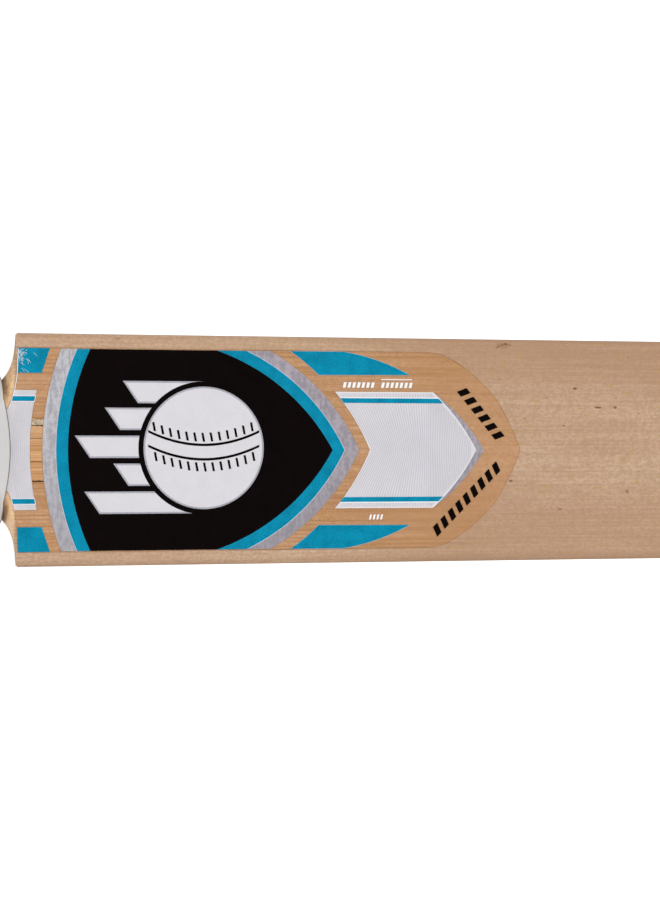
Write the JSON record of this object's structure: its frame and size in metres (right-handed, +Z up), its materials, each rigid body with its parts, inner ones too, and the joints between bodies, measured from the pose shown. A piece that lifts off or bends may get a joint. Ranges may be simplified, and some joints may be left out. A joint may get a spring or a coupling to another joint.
{
  "type": "cricket bat",
  "caption": "Flat-faced willow bat with square shoulders, ridged back, spliced cane handle, flared rubber grip and film labels.",
  "frame": {"origin": "on the handle's axis at the middle of the grip, 145 mm above the blade's shoulder line", "axes": "+Z up the handle, the toe pointing down; -Y is the way the hitting face looks; +X to the right when the face is seen from the front"},
  "size_m": [0.108, 0.0678, 0.8489],
  "materials": {
    "willow": "pale straight-grained willow, satin, lightly oiled",
    "cane": "golden cane lath with fine pores",
    "cane_dark": "browner cane lath with fine pores",
    "spring_rubber": "matt black strip",
    "twine": "waxed flax twine, close wound",
    "grip_rubber": "white moulded rubber, satin",
    "label_film": "glossy clear film with teal, black and silver printed blocks"
  },
  "bodies": {
    "root": {"blade": "willow", "cane_lath_front_left": "cane", "cane_lath_front_centre": "cane_dark", "cane_lath_front_right": "cane", "cane_lath_mid_front_left": "cane_dark", "cane_lath_mid_front_centre": "cane", "cane_lath_mid_front_right": "cane_dark", "cane_lath_mid_back_left": "cane", "cane_lath_mid_back_centre": "cane_dark", "cane_lath_mid_back_right": "cane", "cane_lath_back_left": "cane_dark", "cane_lath_back_centre": "cane", "cane_lath_back_right": "cane_dark", "spring_strip_1": "spring_rubber", "spring_strip_2": "spring_rubber", "spring_strip_3": "spring_rubber", "twine_binding": "twine", "rubber_grip": "grip_rubber", "front_label": "label_film", "back_label": "label_film"}
  },
  "joints": []
}
